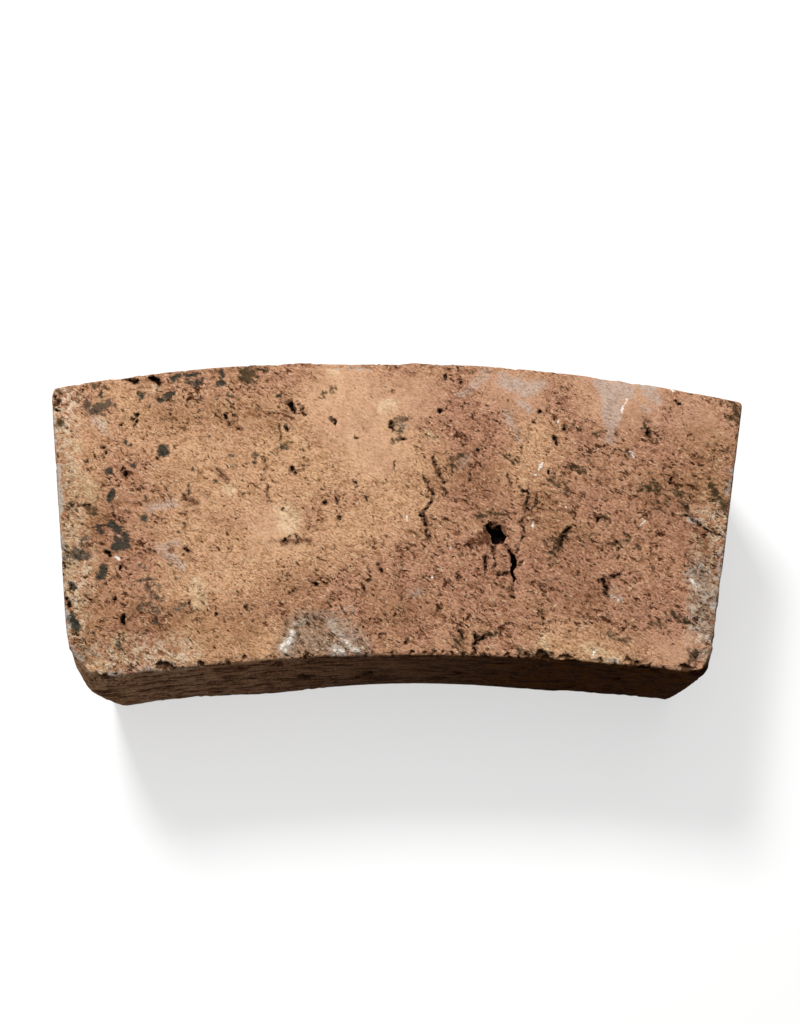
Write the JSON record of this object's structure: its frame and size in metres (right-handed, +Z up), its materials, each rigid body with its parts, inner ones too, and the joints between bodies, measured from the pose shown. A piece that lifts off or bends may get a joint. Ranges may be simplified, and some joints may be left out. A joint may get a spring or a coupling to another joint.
{
  "type": "curved clay brick",
  "caption": "Solid fired-clay brick curved in plan, with a convex back, a concave front and ends that lean towards it, for laying round walls such as wells and chimneys.",
  "frame": {"origin": "on the bottom bed, under the middle of the brick's box", "axes": "+X along the brick's length to the right, +Y towards the convex face, +Z up from the bottom bed to the top bed"},
  "size_m": [0.2341, 0.1096, 0.065],
  "materials": {
    "fired_clay": "matte"
  },
  "bodies": {
    "root": {"brick": "fired_clay"}
  },
  "joints": []
}
